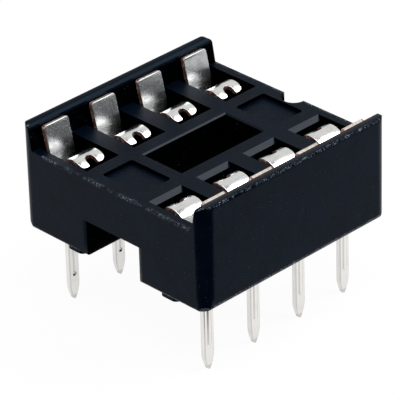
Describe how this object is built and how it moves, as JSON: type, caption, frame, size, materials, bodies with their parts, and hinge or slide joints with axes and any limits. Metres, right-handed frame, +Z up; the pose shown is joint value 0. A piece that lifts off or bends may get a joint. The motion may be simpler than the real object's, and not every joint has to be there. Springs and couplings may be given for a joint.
{
  "type": "dip socket",
  "caption": "Low-profile dual-in-line chip socket: black moulded housing with two side walls, a deck window, a polarity notch and stamped two-leaf contacts with solder tails.",
  "frame": {"origin": "middle of the socket, level with the tips of the solder tails", "axes": "+X across the two rows, +Y along the rows towards the end with the notch, +Z up, out of the board"},
  "size_m": [0.0102, 0.0102, 0.0081],
  "materials": {
    "housing_plastic": "black moulded polyester, satin gloss",
    "contact_metal": "bright tin plating on phosphor bronze",
    "leaf_metal": "bright tin plating on phosphor bronze"
  },
  "bodies": {
    "socket": {"housing": "housing_plastic", "contact_1": "contact_metal", "contact_2": "contact_metal", "contact_3": "contact_metal", "contact_4": "contact_metal", "contact_5": "contact_metal", "contact_6": "contact_metal", "contact_7": "contact_metal", "contact_8": "contact_metal"},
    "leaf_1": {"spring_leaf_1": "leaf_metal"},
    "leaf_2": {"spring_leaf_2": "leaf_metal"},
    "leaf_3": {"spring_leaf_3": "leaf_metal"},
    "leaf_4": {"spring_leaf_4": "leaf_metal"},
    "leaf_5": {"spring_leaf_5": "leaf_metal"},
    "leaf_6": {"spring_leaf_6": "leaf_metal"},
    "leaf_7": {"spring_leaf_7": "leaf_metal"},
    "leaf_8": {"spring_leaf_8": "leaf_metal"}
  },
  "joints": [
    {"name": "leaf_1_flex", "type": "hinge", "parent": "socket", "child": "leaf_1", "pos_m": [-0.00381, 0.00381, 0.00468], "axis": [0, 1, 0], "range_deg": [0, 5], "stiffness_Nm_per_rad": 0.015},
    {"name": "leaf_2_flex", "type": "hinge", "parent": "socket", "child": "leaf_2", "pos_m": [-0.00381, 0.00127, 0.00468], "axis": [0, 1, 0], "range_deg": [0, 5], "stiffness_Nm_per_rad": 0.015},
    {"name": "leaf_3_flex", "type": "hinge", "parent": "socket", "child": "leaf_3", "pos_m": [-0.00381, -0.00127, 0.00468], "axis": [0, 1, 0], "range_deg": [0, 5], "stiffness_Nm_per_rad": 0.015},
    {"name": "leaf_4_flex", "type": "hinge", "parent": "socket", "child": "leaf_4", "pos_m": [-0.00381, -0.00381, 0.00468], "axis": [0, 1, 0], "range_deg": [0, 5], "stiffness_Nm_per_rad": 0.015},
    {"name": "leaf_5_flex", "type": "hinge", "parent": "socket", "child": "leaf_5", "pos_m": [0.00381, -0.00381, 0.00468], "axis": [0, -1, 0], "range_deg": [0, 5], "stiffness_Nm_per_rad": 0.015},
    {"name": "leaf_6_flex", "type": "hinge", "parent": "socket", "child": "leaf_6", "pos_m": [0.00381, -0.00127, 0.00468], "axis": [0, -1, 0], "range_deg": [0, 5], "stiffness_Nm_per_rad": 0.015},
    {"name": "leaf_7_flex", "type": "hinge", "parent": "socket", "child": "leaf_7", "pos_m": [0.00381, 0.00127, 0.00468], "axis": [0, -1, 0], "range_deg": [0, 5], "stiffness_Nm_per_rad": 0.015},
    {"name": "leaf_8_flex", "type": "hinge", "parent": "socket", "child": "leaf_8", "pos_m": [0.00381, 0.00381, 0.00468], "axis": [0, -1, 0], "range_deg": [0, 5], "stiffness_Nm_per_rad": 0.015}
  ]
}
